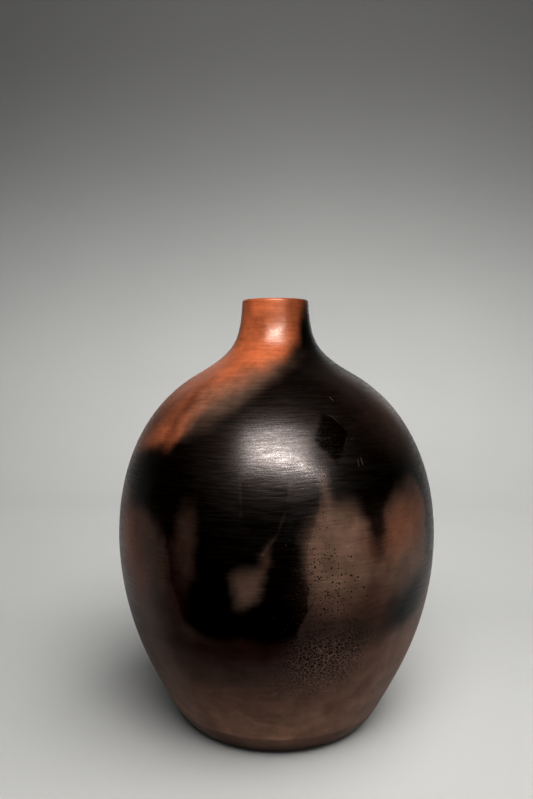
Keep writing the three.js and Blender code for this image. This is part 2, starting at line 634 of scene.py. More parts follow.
FRONT_CLOUDS = (
    # Painted reflection: these two pale clouds low on the right and left sides lay the floor's
    # glancing reflection into the clay colour.
    FireCloud(72, 54, 62, 44, Tone.FOOT_BROWN, 0.95, softness=0.9),
    FireCloud(-74, 48, 50, 40, Tone.FOOT_BROWN, 0.7, softness=0.9),
    FireCloud(-78, 116, 58, 62, Tone.BROWN, 0.7, softness=0.6),
    FireCloud(-60, 222, 40, 20, Tone.UMBER, 0.5, tilt=10, softness=0.8),
    FireCloud(-26, 236, 28, 10, Tone.ASH_BROWN, 0.65, tilt=38, softness=0.9),
    FireCloud(-74, 210, 24, 20, Tone.UMBER, 0.6, softness=0.8),
    # Painted rim glow: brown laid along the right shoulder's edge, where the clay shows a brown
    # glancing reflection.
    FireCloud(76, 222, 42, 26, Tone.BROWN, 0.6, softness=0.9),
    FireCloud(-46, 222, 5, 20, Tone.RUST, 0.6, softness=0.8),
    FireCloud(-56, 130, 16, 28, Tone.RUST, 0.85, tilt=8, softness=0.7),
    FireCloud(-62, 142, 10, 18, Tone.BURNT_ORANGE, 0.5, softness=0.9),
    FireCloud(-46, 184, 34, 20, Tone.SOOT, 0.95, tilt=8, squareness=2.6, softness=0.3),
    FireCloud(-29, 146, 8, 21, Tone.BROWN, 0.5, tilt=-3, squareness=2.4, softness=0.6),
    FireCloud(-9, 126, 7.5, 10.5, Tone.ASH_BROWN, 0.55, tilt=-14, softness=0.7),
    FireCloud(-4.5, 141, 3, 11, Tone.BROWN, 0.45, tilt=-26, softness=0.8),
    FireCloud(42, 127, 56, 34, Tone.BROWN, 0.85, softness=0.5),
    FireCloud(19, 144, 18, 28, Tone.ASH_BROWN, 0.85, squareness=2.4, softness=0.45),
    FireCloud(46, 138, 26, 26, Tone.ASH_BROWN, 0.65, softness=0.6),
    FireCloud(48, 154, 30, 13, Tone.BURNT_ORANGE, 0.5, tilt=12, softness=0.8),
    FireCloud(32, 166, 7, 22, Tone.SOOT, 0.8, tilt=3, softness=0.6),
    FireCloud(15, 182, 3, 9, Tone.ASH_BROWN, 0.32, tilt=-6, softness=0.9),
    FireCloud(16, 92, 32, 11, Tone.SOOT, 0.45, softness=0.9),
    FireCloud(66, 148, 9, 34, Tone.SOOT, 0.85, tilt=-6, softness=0.6),
    FireCloud(50, 106, 24, 13, Tone.SOOT, 1.0, tilt=26, softness=0.6),
    FireCloud(-12, 84, 48, 7, Tone.OXBLOOD, 0.8, softness=0.8),
    FireCloud(-33, 118, 7, 26, Tone.OXBLOOD, 0.7, softness=0.9),
    # Painted sheen: a faint umber lift centred on the main highlight lays its warm brown glow into
    # the black clay.
    FireCloud(-2, 208, 42, 28, Tone.UMBER, 0.2, softness=0.7),
    FireCloud(82, 284, 22, 24, Tone.SOOT, 0.8, softness=0.9),
    FireCloud(0.4, 56, 1.6, 1.2, Tone.ASH_BROWN, 0.9, softness=0.5),
)

BACK_CLOUDS = (
    FireCloud(98, 168, 40, 26, Tone.UMBER, 0.8, tilt=12, softness=0.6),
    FireCloud(128, 96, 44, 30, Tone.RUST, 0.7, tilt=-10, softness=0.7),
    FireCloud(118, 118, 16, 12, Tone.BURNT_ORANGE, 0.7, softness=0.8),
    FireCloud(163, 172, 30, 24, Tone.SOOT, 0.9, tilt=-16, softness=0.4),
    FireCloud(-172, 112, 34, 26, Tone.ASH_BROWN, 0.6, tilt=8, softness=0.7),
    FireCloud(-138, 150, 36, 22, Tone.BURNT_ORANGE, 0.6, tilt=-12, softness=0.7),
    FireCloud(-122, 96, 30, 20, Tone.SOOT, 0.8, tilt=14, softness=0.5),
    FireCloud(-98, 206, 30, 12, Tone.RUST, 0.6, tilt=-10, softness=0.8),
    FireCloud(-160, 62, 50, 22, Tone.UMBER, 0.7, softness=0.8),
)

FRONT_GRIT = (
    Grit(FireCloud(17, 122, 16, 20, softness=0.9), 2.0, 0.62, 0.7),
    Grit(FireCloud(12, 122, 14, 34, softness=0.8), 1.1, 0.4, 0.5),
)
CRACKLE_ZONE = FireCloud(20, 72, 26, 21, softness=0.7)
LEAF = FireCloud(-3.6, 176, 15, 22, strength=0.5, tilt=5, softness=0.16)

KITE = Facet(((14, 210), (21, 197), (24.5, 203), (29, 214), (24, 223), (20, 225)), 2.0)

SCRATCHES = (
    Scratch((24, 223), (29, 214), 0.6, 0.4),
    Scratch((29, 214), (25, 204), 0.6, 0.3),
    Scratch((20, 225), (24, 223), 0.6, 0.4),
    Scratch((27.5, 234), (28.4, 232), 0.6, 0.5),
    Scratch((29.6, 198), (29.4, 194), 0.5, 0.4),
    Scratch((31, 198.5), (31.2, 194.5), 0.5, 0.4),
    Scratch((20.4, 220), (21.2, 217), 0.6, 0.5),
    Scratch((-11.8, 190), (-10.8, 168), 1.6, 0.07),
    Scratch((4.8, 188), (3.4, 174), 1.6, 0.1),
    Scratch((3.4, 174), (0.6, 158), 1.6, 0.14),
    Scratch((0.6, 158), (-4, 146), 1.8, 0.18),
)


@dataclass(frozen=True)
class Firing:
    """How strongly each mark of the fire, the stone and wear shows.

    A ramp is the low and high end of a noise, and what the mark is at each. Levels are millimetres.
    """

    broad_stroke: Triple = (60.0, 60.0, 820.0)
    fine_stroke: Triple = (170.0, 170.0, 1500.0)
    dragged_level: Triple = (24.0, 24.0, 800.0)
    body_levels: Pair = (76.0, 12.0)
    dull_levels: Pair = (120.0, 60.0)
    mottle: Ramp = (0.3, 0.7, 0.72, 1.28)
    streak: Ramp = (0.3, 0.7, 0.9, 1.1)
    gloss: Ramp = (0.32, 0.68, 0.27, 0.41)
    fine_polish: Ramp = (0.36, 0.64, 0.5, 1.2)
    speck_polish: Ramp = (0.36, 0.64, 0.6, 1.2)
    speckle: Pair = (0.4, 0.62)
    broken_line: Pair = (0.35, 0.6)
    stray_pits: float = 0.6
    pit_soot: float = 0.95
    crackle_paleness: float = 0.6
    kite_soot: float = 0.9
    kite_speckle: float = 0.5
    leaf_drift: float = 0.4
    leaf_line: float = 0.22
    leaf_skip: float = 0.5
    skip_gloss: float = -0.18
    pit_dullness: float = 0.3
    low_dullness: float = 0.2
    low_polish_loss: float = 0.8
    broad_relief: float = 0.6
    fine_relief: float = 0.28
    speck_relief: float = 0.16
    pit_relief: float = -1.6
    crackle_relief: float = 0.5


@dataclass(frozen=True)
class Ground:
    """The wall as one tree's sockets give it: where each point lies, and how edges drift there."""

    w: Wiring
    place: Socket
    where: dict[str, Socket]
    drift: dict[str, Socket]

    def steadier(self, share: float) -> Ground:
        """Gives the same ground with only a share of the drift."""
        drift = {name: self.w.times(socket, share) for name, socket in self.drift.items()}
        return Ground(self.w, self.place, self.where, drift)


class ClayLooks:
    """The shader node groups that every finish of the pot is made from."""

    line_scale: float = 320.0

    def __init__(self, firing: Firing) -> None:
        """Builds each group once.

        Args:
            firing: How strongly each mark shows.
        """
        self.firing = firing
        self.round_the_pot = self._round_the_pot()
        self.licks = self._licks()
        self.cloud = self._cloud()
        self.strokes = self._strokes()
        self.pits = self._pits()
        self.crackle = self._crackle()
        self.scratch = self._scratch()
        self.fired_clay = self._fired_clay()

    def _round_the_pot(self) -> bpy.types.NodeTree:
        """Turns a place into an angle from the front, a height and a distance from the axis.

        Returns:
            The group.
        """
        w = Group("round_the_pot", {"Place": VECTOR},
                  dict.fromkeys(("Around", "Height", "Out"), NUMBER))
        x, y, z = w.node("ShaderNodeSeparateXYZ", {0: w.given["Place"]}).outputs
        angle = w.math("ARCTAN2", x, w.times(y, -1.0))
        reach = w.math("SQRT", w.plus(w.times(x, x), w.times(y, y)))
        return w.gives(Around=w.math("DEGREES", angle), Height=w.times(z, 1 / MM),
                       Out=w.times(reach, 1 / MM))

    def _licks(self) -> bpy.types.NodeTree:
        """Makes the drift of a cloud's edge: slow licks of flame, dragged level by burnishing.

        Returns:
            The group.
        """
        w = Group("flame_licks", {"Place": VECTOR, "Lick": 9.0, "Drag": 2.2},
                  dict.fromkeys(("Sideways", "Upward"), NUMBER))
        slow = w.noise(w.given["Place"], 34.0, detail=3.0, roughness=0.55)
        parts = w.node("ShaderNodeSeparateColor", {0: slow.outputs["Color"]})
        level = w.vector("MULTIPLY", w.given["Place"], self.firing.dragged_level)
        side = w.swing(parts.outputs[0], w.given["Lick"])
        pull = w.swing(w.noise(level, 1.0).outputs[0], w.given["Drag"])
        rise = w.swing(parts.outputs[1], w.given["Lick"])
        return w.gives(Sideways=w.times(w.plus(side, pull), 2.0), Upward=w.times(rise, 1.6))

    def _cloud(self) -> bpy.types.NodeTree:
        """Makes one soft, tilted, rounded patch on the wall.

        Returns:
            The group.
        """
        w = Group("fire_cloud",
                  {"Around": 0.0, "Height": 0.0, "Out": 100.0, "Sideways": 0.0, "Upward": 0.0,
                   "Centre Around": 0.0, "Centre Height": 100.0, "Half Width": 20.0,
                   "Half Height": 20.0, "Tilt": 0.0, "Squareness": 2.0, "Softness": 0.3},
                  {"Mask": NUMBER, "Rim": NUMBER})
        given = w.given
        turned = w.minus(given["Around"], given["Centre Around"])
        wrapped = w.math("WRAP", turned, 180.0, -180.0)
        u = w.plus(w.times(w.math("RADIANS", wrapped), given["Out"]), given["Sideways"])
        v = w.plus(w.minus(given["Height"], given["Centre Height"]), given["Upward"])
        tilt = w.math("RADIANS", given["Tilt"])
        cos, sin = w.math("COSINE", tilt), w.math("SINE", tilt)
        across = w.plus(w.times(u, cos), w.times(v, sin))
        up = w.minus(w.times(v, cos), w.times(u, sin))
        parts = [w.math("POWER", w.math("ABSOLUTE", w.math("DIVIDE", run, given[half])),
                        given["Squareness"])
                 for run, half in ((across, "Half Width"), (up, "Half Height"))]
        reach = w.math("POWER", w.plus(*parts), w.math("DIVIDE", 1.0, given["Squareness"]))
        low, high = w.minus(1.0, given["Softness"]), w.plus(1.0, given["Softness"])
        off = w.math("ABSOLUTE", w.minus(reach, 1.0))
        return w.gives(Mask=w.between(reach, low, high, 1.0, 0.0),
                       Rim=w.between(off, 0.0, given["Softness"], 1.0, 0.0))

    def _strokes(self) -> bpy.types.NodeTree:
        """Makes the level strokes of the burnishing stone.

        Returns:
            The group.
        """
        w = Group("burnish_strokes", {"Place": VECTOR, "Waver": 0.012},
                  {"Broad": NUMBER, "Fine": NUMBER})
        rise = w.noise(w.given["Place"], 9.0, detail=1.0).outputs[0]
        waver = w.node("ShaderNodeCombineXYZ", {2: w.swing(rise, w.given["Waver"])})
        wavy = w.vector("ADD", w.given["Place"], waver.outputs[0])
        broad, fine = (w.noise(w.vector("MULTIPLY", wavy, stroke), 1.0, roughness=0.6)
                       for stroke in (self.firing.broad_stroke, self.firing.fine_stroke))
        return w.gives(Broad=broad.outputs[0], Fine=fine.outputs[0])

    def _pits(self) -> bpy.types.NodeTree:
        """Makes small scattered pits where grit came out of the skin.

        Returns:
            The group.
        """
        w = Group("grit_pits", {"Place": VECTOR, "Spacing": 2.4, "Size": 0.5, "Share": 0.4},
                  {"Mask": NUMBER})
        scale = w.math("DIVIDE", 1 / MM, w.given["Spacing"])
        grit = w.node("ShaderNodeTexVoronoi", {"Vector": w.given["Place"], "Scale": scale})
        dice = w.node("ShaderNodeSeparateColor", {0: grit.outputs["Color"]})
        chosen = w.math("LESS_THAN", dice.outputs[0], w.given["Share"])
        reach = w.times(grit.outputs["Distance"], w.given["Spacing"])
        size = w.times(w.given["Size"], w.plus(w.times(dice.outputs[1], 0.9), 0.5))
        hole = w.between(reach, w.times(size, 0.6), size, 1.0, 0.0)
        return w.gives(Mask=w.times(hole, chosen))

    def _crackle(self) -> bpy.types.NodeTree:
        """Makes a net of fine crackle lines.

        Returns:
            The group.
        """
        w = Group("crackle", {"Place": VECTOR, "Cell": 2.1, "Line": 0.14, "Bend": 0.0022},
                  {"Mask": NUMBER})
        drift = w.noise(w.given["Place"], 420.0)
        bent = w.vector("ADD", w.given["Place"],
                        w.scaled(drift.outputs["Color"], w.given["Bend"]))
        scale = w.math("DIVIDE", 1 / MM, w.given["Cell"])
        net = w.node("ShaderNodeTexVoronoi", {"Vector": bent, "Scale": scale},
                     feature="DISTANCE_TO_EDGE")
        return w.gives(Mask=w.between(net.outputs["Distance"], 0.0, w.given["Line"], 1.0, 0.0))

    def _scratch(self) -> bpy.types.NodeTree:
        """Makes one fine line between two points of the wall.

        Returns:
            The group.
        """
        w = Group("fine_scratch",
                  {"Around": 0.0, "Height": 0.0, "Out": 100.0, "Start Around": 0.0,
                   "Start Height": 0.0, "End Around": 0.0, "End Height": 0.0, "Width": 0.5},
                  {"Mask": NUMBER})

        def run(kind: str) -> tuple[Value, Socket]:
            """Gives the runs in millimetres, round and up, from the line's start to a point."""
            turn = w.minus(w.given[kind + "Around"], w.given["Start Around"])
            return (w.times(w.math("RADIANS", turn), w.given["Out"]),
                    w.minus(w.given[kind + "Height"], w.given["Start Height"]))

        (px, py), (ex, ey) = run(""), run("End ")
        dot = w.plus(w.times(px, ex), w.times(py, ey))
        square = w.plus(w.times(ex, ex), w.times(ey, ey))
        share = w.math("DIVIDE", dot, square, clamp=True)
        dx, dy = w.minus(px, w.times(ex, share)), w.minus(py, w.times(ey, share))
        away = w.math("SQRT", w.plus(w.times(dx, dx), w.times(dy, dy)))
        return w.gives(Mask=w.between(away, 0.0, w.given["Width"], 1.0, 0.0))

    def _lay(self, ground: Ground, cloud: FireCloud) -> tuple[Value, Value]:
        """Places one cloud.

        Args:
            ground: The wall that it lies on.
            cloud: The cloud.

        Returns:
            Its mask and the thin line of its rim, both times its strength.
        """
        placed = ground.w.group(
            self.cloud, **ground.where, **ground.drift, Centre_Around=cloud.around,
            Centre_Height=cloud.height, Half_Width=cloud.half_width,
            Half_Height=cloud.half_height, Tilt=cloud.tilt, Squareness=cloud.squareness,
            Softness=cloud.softness)
        return (ground.w.times(placed.outputs["Mask"], cloud.strength),
                ground.w.times(placed.outputs["Rim"], cloud.strength))

    def _above(self, ground: Ground, line: TideLine) -> Socket:
        """Masks everything above a tide line.

        Args:
            ground: The wall that it runs round.
            line: The line.

        Returns:
            The mask.
        """
        w = ground.w
        slide = w.math("DIVIDE", ground.drift["Sideways"], 3.0)
        turn = w.math("WRAP", w.plus(ground.where["Around"], slide), 180.0, -180.0)
        curve = w.node("ShaderNodeFloatCurve", {"Value": w.math("MULTIPLY_ADD", turn, 1 / 360, 0.5)})
        mapping = curve.mapping.curves[0]
        spots = [((angle + 180) / 360, height / self.line_scale) for angle, height in line.points]
        mapping.points[0].location, mapping.points[-1].location = spots[0], spots[-1]
        for spot in spots[1:-1]:
            mapping.points.new(*spot)
        curve.mapping.update()
        edge = w.times(curve.outputs[0], self.line_scale)
        over = w.minus(w.plus(ground.where["Height"], ground.drift["Upward"]), edge)
        return w.between(over, -line.softness, line.softness)

    def _skip(self, ground: Ground, facet: Facet) -> Socket:
        """Masks the inside of a facet.

        Args:
            ground: The wall that it lies on.
            facet: The facet.

        Returns:
            The mask.
        """
        w, inside = ground.w, 1.0e6
        corners = facet.corners
        for (a0, h0), (a1, h1) in zip(corners, corners[1:] + corners[:1]):
            along, rise = (a1 - a0) * facet.degree, h1 - h0
            run = math.hypot(along, rise)
            across = w.times(w.minus(ground.where["Around"], a0), facet.degree * -rise / run)
            up = w.times(w.minus(ground.where["Height"], h0), along / run)
            inside = w.math("MINIMUM", inside, w.plus(across, up))
        return w.between(inside, -facet.softness, facet.softness)

    def _fire(self, ground: Ground) -> Socket:
        """Colours the wall: the body, the smoke, the red neck, then each cloud in its order.

        Args:
            ground: The wall.

        Returns:
            The colour.
        """
        w = ground.w
        paler = w.between(ground.where["Height"], *self.firing.body_levels)
        body = w.mix(paler, Tone.UMBER.value, Tone.FOOT_BROWN.value)
        colour = w.mix(self._above(ground, SMOKE_LINE), body, Tone.SOOT.value)
        colour = w.mix(self._above(ground, RED_LINE), colour, Tone.TERRACOTTA.value)
        for cloud in FRONT_CLOUDS + BACK_CLOUDS:
            colour = w.mix(self._lay(ground, cloud)[0], colour, cloud.tone.value)
        return colour

    def _pitting(self, ground: Ground) -> Value:
        """Pits the front at the right, and a few stray places all over.

        Args:
            ground: The wall.

        Returns:
            The mask of the pits.
        """
        w = ground.w
        stray = w.group(self.pits, Place=ground.place, Spacing=9.0, Size=0.5, Share=0.25)
        pit = w.times(stray.outputs[0], self.firing.stray_pits)
        for grit in FRONT_GRIT:
            share = w.times(self._lay(ground, grit.zone)[0], grit.share)
            holes = w.group(self.pits, Place=ground.place, Spacing=grit.spacing, Size=grit.size,
                            Share=share)
            pit = w.math("MAXIMUM", pit, holes.outputs[0])
        return pit

    def _lines(self, ground: Ground, leaf_rim: Value, grain: Socket) -> Value:
        """Draws the leaf's upper edge and every scratch, broken up as the skin is.

        Args:
            ground: The wall.
            leaf_rim: The line of the leaf's rim.
            grain: The clay's grain.

        Returns:
            The mask of the lines.
        """
        w = ground.w
        arch = w.between(ground.where["Height"], LEAF.height, LEAF.height + LEAF.half_height)
        line = w.times(leaf_rim, arch, self.firing.leaf_line)
        for scratch in SCRATCHES:
            drawn = w.group(self.scratch, **ground.where, Start_Around=scratch.start[0],
                            Start_Height=scratch.start[1], End_Around=scratch.end[0],
                            End_Height=scratch.end[1], Width=scratch.width)
            line = w.math("MAXIMUM", line, w.times(drawn.outputs[0], scratch.strength))
        return w.times(line, w.between(grain, *self.firing.broken_line))

    def _fired_clay(self) -> bpy.types.NodeTree:
        """Lays the whole firing over the wall, from the body colour up to the last scratch.

        Returns:
            The group.
        """
        w = Group("fired_clay", {"Place": VECTOR},
                  {"Colour": "NodeSocketColor", "Roughness": NUMBER, "Relief": NUMBER,
                   "Polish": NUMBER})
        place, fire = w.given["Place"], self.firing
        spot, lick = w.group(self.round_the_pot, Place=place), w.group(self.licks, Place=place)
        ground = Ground(w, place, {name: spot.outputs[name] for name in ("Around", "Height", "Out")},
                        {name: lick.outputs[name] for name in ("Sideways", "Upward")})
        broad, fine = w.group(self.strokes, Place=place).outputs
        grain = w.noise(place, 60.0, detail=6.0, roughness=0.65).outputs[0]
        speck = w.noise(place, 900.0, detail=3.0).outputs[0]
        speckle = w.between(w.noise(place, 700.0).outputs[0], *fire.speckle)

        mottle = w.between(grain, *fire.mottle, smooth=False)
        streak = w.between(broad, *fire.streak, smooth=False)
        colour = w.scaled(self._fire(ground), w.times(mottle, streak))
        pit = self._pitting(ground)
        colour = w.mix(w.times(pit, fire.pit_soot), colour, Tone.SOOT.value)
        crackle = w.times(w.group(self.crackle, Place=place).outputs[0],
                          self._lay(ground, CRACKLE_ZONE)[0])
        colour = w.mix(w.times(crackle, fire.crackle_paleness), colour, Tone.CRACKLE.value)
        leaf, leaf_rim = self._lay(ground.steadier(fire.leaf_drift), LEAF)
        colour = w.mix(self._lines(ground, leaf_rim, grain), colour, Tone.SCRATCHED.value)
        kite = self._skip(ground, KITE)
        colour = w.mix(w.times(kite, fire.kite_soot), colour, Tone.SOOT.value)

        kite = w.times(kite, w.minus(1.0, w.times(speckle, fire.kite_speckle)))
        skipped = w.math("MAXIMUM", kite, w.times(leaf, fire.leaf_skip))
        low = w.between(ground.where["Height"], *fire.dull_levels)
        rough = w.plus(w.between(broad, *fire.gloss, smooth=False),
                       w.times(skipped, fire.skip_gloss), w.times(pit, fire.pit_dullness))
        rough = w.math("ADD", rough, w.times(low, fire.low_dullness), clamp=True)
        relief = w.plus(w.times(broad, fire.broad_relief), w.times(fine, fire.fine_relief),
                        w.times(speck, fire.speck_relief), w.times(pit, fire.pit_relief),
                        w.times(crackle, fire.crackle_relief))
        polish = w.times(w.minus(1.0, w.math("MAXIMUM", skipped, pit)),
                         w.between(fine, *fire.fine_polish),
                         w.between(speck, *fire.speck_polish),
                         w.minus(1.0, w.times(low, fire.low_polish_loss)))
        return w.gives(Colour=colour, Roughness=rough, Relief=relief, Polish=polish)


def new_material(name: str) -> tuple[bpy.types.Material, Wiring, bpy.types.Node, Socket]:
    """Starts a material.

    Args:
        name: The material's name.

    Returns:
        The material, its wiring, its Principled node and the piece's Object coordinates.
    """
    made = bpy.data.materials.new(name)
    made.use_nodes = True
    w = Wiring(made.node_tree)
    place = w.node("ShaderNodeTexCoord").outputs["Object"]
    return made, w, made.node_tree.nodes["Principled BSDF"], place


@dataclass(frozen=True)
class BurnishedClay:
    """The outside of the pot: burnished with a stone, then clouded by the fire."""

    polish: float = 0.28
    polish_roughness: float = 0.2
    specular_level: float = 0.21
    relief: float = 0.09 * MM

    def material(self, looks: ClayLooks) -> bpy.types.Material:
        """Makes the material.

        Args:
            looks: The shared node groups.

        Returns:
            The material.
        """
        made, w, shader, place = new_material("stone_burnished_clay")
        clay = w.group(looks.fired_clay, Place=place)
        skin = w.relief(clay.outputs["Relief"], self.relief)
        w.dress(shader, Base_Color=clay.outputs["Colour"], Roughness=clay.outputs["Roughness"],
                Coat_Weight=w.times(clay.outputs["Polish"], self.polish),
                Coat_Roughness=self.polish_roughness, Specular_IOR_Level=self.specular_level,
                Normal=skin, Coat_Normal=skin)
        return made


@dataclass(frozen=True)
class RubbedFoot:
    """The foot's roll: the same fired clay, rubbed pale and dull where it stands and drags; its pale
    band is also a painted floor reflection, its lowest edge a painted contact shadow.
    """

    ragged: float = 6.0
    rub_and_reflection_levels: Pair = (17.5, 14.0)
    contact_shadow_levels: Pair = (4.0, 0.5)
    rubbed_roughness: float = 0.62
    relief: float = 0.06 * MM

    def material(self, looks: ClayLooks) -> bpy.types.Material:
        """Makes the material.

        Args:
            looks: The shared node groups.

        Returns:
            The material.
        """
        made, w, shader, place = new_material("rubbed_foot")
        clay = w.group(looks.fired_clay, Place=place)
        spot = w.group(looks.round_the_pot, Place=place)
        # This noise raggeds the edge of the rubbed band and of the painted contact shadow below it.
        wear = w.noise(place, 55.0, detail=5.0).outputs[0]
        ragged = w.plus(spot.outputs["Height"], w.swing(wear, self.ragged))
        # Rubbed band: rougher where the foot wears; its paler colour is also a painted reflection of
        # the floor along the bottom edge.
        rub_and_reflection = w.between(ragged, *self.rub_and_reflection_levels, 0.0, 0.55)
        # Painted contact shadow: soot colour over the lowest few millimetres of the roll, where the
        # pot meets the floor.
        contact_shadow = w.between(ragged, *self.contact_shadow_levels, 0.0, 0.75)
        colour = w.mix(rub_and_reflection, clay.outputs["Colour"], Tone.RUBBED_AND_REFLECTED.value)
        w.dress(shader, Base_Color=w.mix(contact_shadow, colour, Tone.SOOT.value),
                Roughness=w.between(rub_and_reflection, 0.0, 0.5, clay.outputs["Roughness"],
                                    self.rubbed_roughness),
                Normal=w.relief(clay.outputs["Relief"], self.relief))
        return made


@dataclass(frozen=True)
class BareClay:
    """The inside and the underside of the pot: wiped smooth, never burnished."""

    dullness: Pair = (0.74, 0.9)
    relief: float = 0.2 * MM

    def material(self, looks: ClayLooks) -> bpy.types.Material:
        """Makes the material.

        Args:
            looks: The shared node groups.

        Returns:
            The material.
        """
        made, w, shader, place = new_material("wiped_bare_clay")
        broad = w.group(looks.strokes, Place=place).outputs["Broad"]
        grit = w.group(looks.pits, Place=place, Spacing=3.2, Size=0.5, Share=0.35).outputs[0]
        soot = w.noise(place, 16.0, detail=4.0).outputs[0]
        grain = w.noise(place, 240.0, detail=4.0).outputs[0]
        colour = w.mix(w.between(soot, 0.42, 0.6, 0.1, 0.9), Tone.BARE.value, Tone.SMOKED.value)
        shade = w.times(w.between(grain, 0.3, 0.7, 0.8, 1.2, smooth=False),
                        w.between(broad, 0.3, 0.7, 0.86, 1.14, smooth=False))
        colour = w.mix(w.times(grit, 0.6), w.scaled(colour, shade), Tone.SOOT.value)
        w.dress(shader, Base_Color=colour, Roughness=w.between(grain, 0.3, 0.7, *self.dullness),
                Normal=w.relief(w.minus(w.plus(broad, grain), grit), self.relief))
        return made


class Slot(Enum):
    """The record's material slots."""

    BURNISHED = "burnished_clay"
    FOOT = "rubbed_foot_clay"


@dataclass(frozen=True)
class Clays:
    """The materials that the sections are made of."""

    burnished: bpy.types.Material
    foot: bpy.types.Material
    bare: bpy.types.Material


# ---------------------------------------------------------------------------------------------
# The sections
# ---------------------------------------------------------------------------------------------


def levels(node: str) -> Pair:
    """Reads from the frame the lowest and the highest level of a section's CAD node."""
    low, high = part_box(node)
    return low[2], high[2]


@dataclass
class Section:
    """One luted section of the pot."""

    node: str
    wall: PotWall
    wheel: PottersWheel
    slot: Slot = Slot.BURNISHED
    outer_pitch: float = 2 * MM
    inner_pitch: float = 4 * MM
    round_steps: int = 192

    def outline(self) -> Profile:
        """Draws the band of wall between the section's two level seams.

        Returns:
            The closed outline.
        """
        bottom, top = levels(self.node)
        outer = rows(self.wall.outside(), bottom, top, self.outer_pitch)
        inner = rows(self.wall.inside(), bottom, top, self.inner_pitch)[::-1]
        return Profile(outer + inner, [0.0] * len(outer) + [1.0] * len(inner))

    def build(self, clays: Clays) -> bpy.types.Object:
        """Turns the section, dresses it and puts it in the frame.

        Args:
            clays: The pot's materials.

        Returns:
            The finished piece.
        """
        outside = clays.foot if self.slot is Slot.FOOT else clays.burnished
        piece = self.wheel.turn("clay_" + self.node, self.outline(), {
            "Round Steps": self.round_steps,
            "Belly Height": self.wall.belly[1],
            "Rim Height": self.wall.height,
            "Burnished Clay": outside,
            "Bare Clay": clays.bare,
        })
        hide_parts(self.node)
        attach(piece, "root")
        LOG.info("%s: %d faces", piece.name, len(piece.data.polygons))
        return piece


@dataclass
class BaseDish(Section):
    """The dish that the walls stand on, with a flat floor and the rolled edge of the foot."""

    floor_rings: int = 6

    def outline(self) -> Profile:
        """Draws the dish from the middle of its underside to the middle of its floor.

        Returns:
            The outline, open on the axis.
        """
        top = levels(self.node)[1]
        outer = rows(self.wall.outside(), 0.0, top, self.outer_pitch)
        inner = rows(self.wall.inside(), self.wall.floor, top, self.outer_pitch)[::-1]
        shares = [i / self.floor_rings for i in range(self.floor_rings)]
        under = [outer[0] * share for share in shares]
        over = [Vector((inner[-1].x * share, self.wall.floor)) for share in reversed(shares)]
        bare = [1.0] * (len(under) + 1) + [0.0] * (len(outer) - 1)
        bare += [1.0] * (len(inner) + len(over))
        return Profile(under + outer + inner + over, bare, closed=False)


@dataclass
class LipCoil(Section):
    """The last coil, rounded over on both edges of the mouth."""

    row_pitch: float = 1 * MM
    outer_round: float = 1.6 * MM
    inner_round: float = 2.6 * MM
    arc_steps: int = 8

    def quarter(self, centre: Vector, radius: float, start: float) -> list[Vector]:
        """Rounds one edge of the lip by a quarter turn from its start angle."""
        angles = [start + math.pi / 2 * i / self.arc_steps for i in range(self.arc_steps + 1)]
        return [centre + Vector((math.cos(a), math.sin(a))) * radius for a in angles]

    def outline(self) -> Profile:
        """Draws the coil from its seam over the lip and back down the inside.

        Returns:
            The closed outline.
        """
        bottom, top = levels(self.node)
        outer = rows(self.wall.outside(), bottom, top - self.outer_round, self.row_pitch)
        inner = rows(self.wall.inside(), bottom, top - self.inner_round, self.row_pitch)[::-1]
        over = self.quarter(outer[-1] - Vector((self.outer_round, 0)), self.outer_round, 0.0)
        back = self.quarter(inner[0] + Vector((self.inner_round, 0)), self.inner_round,
                            math.pi / 2)
        skin = outer[:-1] + over + back
        return Profile(skin + inner[1:], [0.0] * len(skin) + [1.0] * (len(inner) - 1))


@dataclass
class Pot:
    """The whole pot, from the base dish to the lip."""

    wall: PotWall = field(default_factory=PotWall)
    body_nodes: tuple[str, ...] = ("lower_bowl", "belly_band", "shoulder_band", "crown")

    def build(self, clays: Clays) -> list[bpy.types.Object]:
        """Builds every section in the order that a potter raises them.

        Args:
            clays: The pot's materials.

        Returns:
            The finished pieces.
        """
        wheel = PottersWheel()
        sections = [BaseDish("base_dish", self.wall, wheel, slot=Slot.FOOT)]
        sections += [Section(node, self.wall, wheel) for node in self.body_nodes]
        sections.append(Section("neck_collar", self.wall, wheel, outer_pitch=1.5 * MM))
        sections.append(LipCoil("lip_coil", self.wall, wheel))
        return [section.build(clays) for section in sections]


# ---------------------------------------------------------------------------------------------
# The studio
# ---------------------------------------------------------------------------------------------

MIDDLE: Triple = (0.0, 0.0, 0.15)
WARM: Triple = (1.0, 0.9, 0.86)
WHITE: Triple = (1.0, 1.0, 1.0)


@dataclass(frozen=True)
class SoftBox:
    """A rectangular soft light that faces a point of the set."""

    name: str
    place: Triple
    width: float
    height: float
    power: float
    aim: Triple = MIDDLE
    spread: float = 180.0
    roll: float = 0.0
    tint: Triple = WARM

    def hang(self) -> bpy.types.Object:
        """Hangs the light.

        Returns:
            The light.
        """
        data = bpy.data.lights.new(self.name, "AREA")
        data.shape, data.size, data.size_y = "RECTANGLE", self.width, self.height
        data.energy, data.color, data.spread = self.power, self.tint, math.radians(self.spread)
        light = bpy.data.objects.new(self.name, data)
        bpy.context.scene.collection.objects.link(light)
        light.location = self.place
        back = Vector(self.place) - Vector(self.aim)
        facing = back.to_track_quat("Z", "Y") @ Quaternion((0, 0, 1), math.radians(self.roll))
        light.rotation_euler = facing.to_euler()
        light.visible_camera = False
        return light


